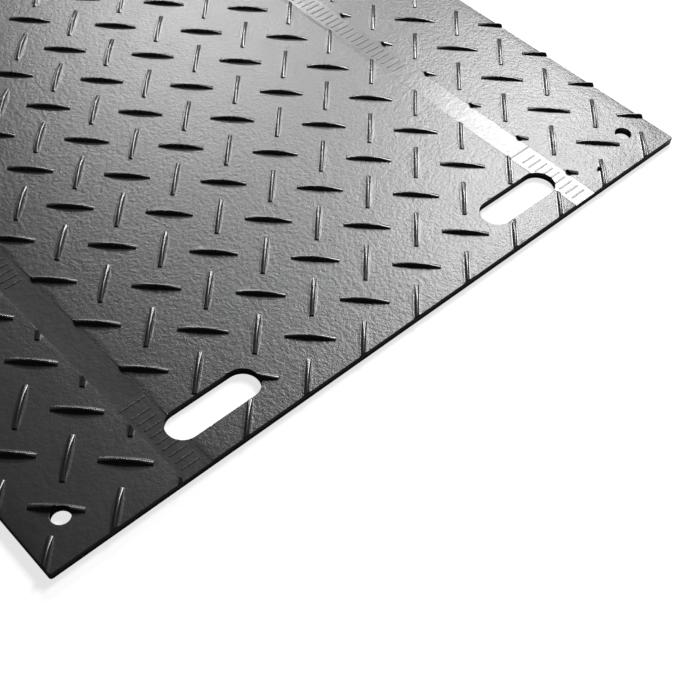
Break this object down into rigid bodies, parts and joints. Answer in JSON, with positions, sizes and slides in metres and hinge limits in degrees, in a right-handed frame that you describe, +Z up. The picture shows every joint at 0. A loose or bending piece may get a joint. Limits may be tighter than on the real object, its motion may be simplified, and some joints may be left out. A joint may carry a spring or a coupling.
{
  "type": "ground protection mat",
  "caption": "Flat black polyethylene ground protection mat with arched tread ribs, smooth bands, hand slots and corner fixing holes.",
  "frame": {"origin": "middle of the underside, on the ground", "axes": "+Z up through the sheet, +Y along the mat's length, +X across it"},
  "size_m": [1.22, 2.44, 0.0191],
  "materials": {
    "mat": "satin"
  },
  "bodies": {
    "root": {"mat": "mat"}
  },
  "joints": []
}
